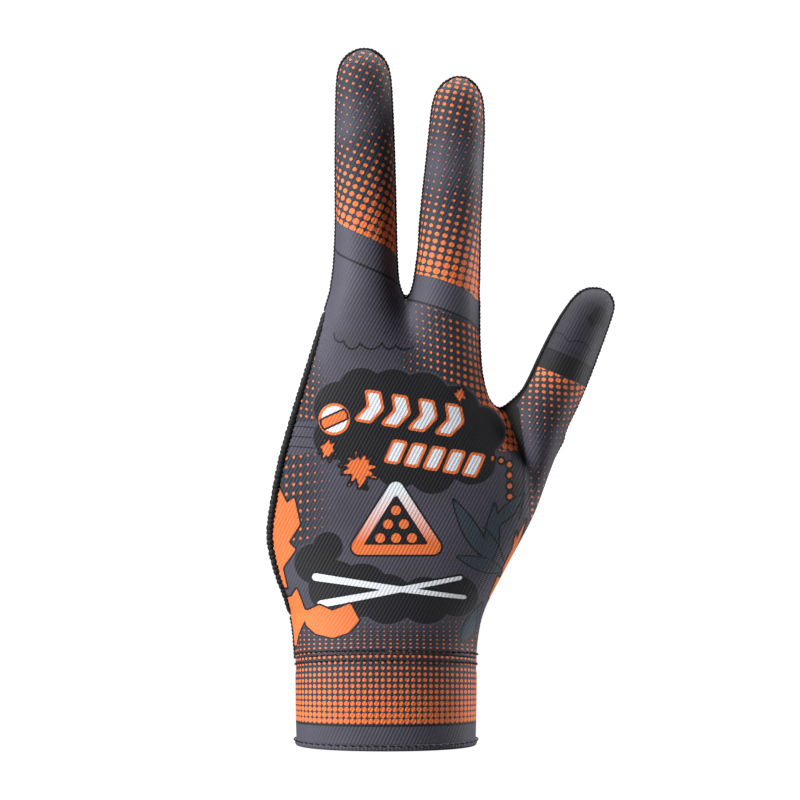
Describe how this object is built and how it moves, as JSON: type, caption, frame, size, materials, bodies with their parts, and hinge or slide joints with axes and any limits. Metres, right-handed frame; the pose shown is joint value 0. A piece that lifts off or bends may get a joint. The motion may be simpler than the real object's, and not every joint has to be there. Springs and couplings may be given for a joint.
{
  "type": "billiard glove",
  "caption": "Stretch-knit billiard glove for the left hand, with a printed back, a black palm, an open side for the outer fingers and a hemmed cuff.",
  "frame": {"origin": "middle of the wrist opening, at the lower rim of the cuff hem", "axes": "+Z along the hand towards the finger tips, +X towards the thumb, -Y out of the back of the hand"},
  "size_m": [0.1176, 0.0442, 0.2357],
  "materials": {
    "printed_knit": "matt printed knit",
    "black_stretch": "matt black stretch knit",
    "cuff_knit": "matt printed knit",
    "hem_knit": "matt knit",
    "serged_thread": "matt thread"
  },
  "bodies": {
    "root": {"back_panel": "printed_knit", "palm_panel": "black_stretch", "cuff": "cuff_knit", "cuff_hem": "hem_knit", "opening_binding": "serged_thread"}
  },
  "joints": []
}
